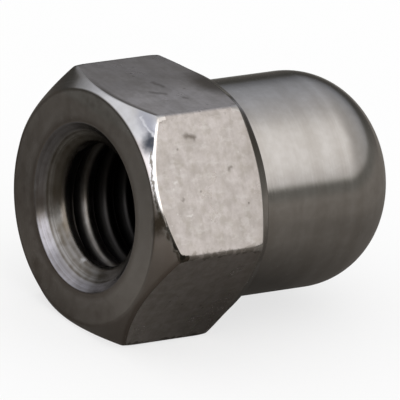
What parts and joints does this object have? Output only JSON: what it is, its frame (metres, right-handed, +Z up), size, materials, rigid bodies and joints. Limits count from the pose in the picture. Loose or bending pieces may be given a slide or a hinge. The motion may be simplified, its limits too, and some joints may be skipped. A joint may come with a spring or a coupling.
{
  "type": "cap nut",
  "caption": "Tall one-piece cap nut with a chamfered hexagon, plain neck and domed closed end; covers and holds the end of a threaded rod.",
  "frame": {"origin": "centre of the bearing face, on the thread axis", "axes": "+X along the thread axis from the bearing face to the tip of the dome, +Z up out of the upper spanner flat, +Y completes a right-handed frame; the nut lies on the opposite flat at z = -5 mm"},
  "size_m": [0.0138, 0.0114, 0.01],
  "materials": {
    "steel": "satin stainless steel: fine turning rings on the round surfaces, dull pitted flats, and a bare machined thread"
  },
  "bodies": {
    "root": {"cap_nut": "steel"}
  },
  "joints": []
}
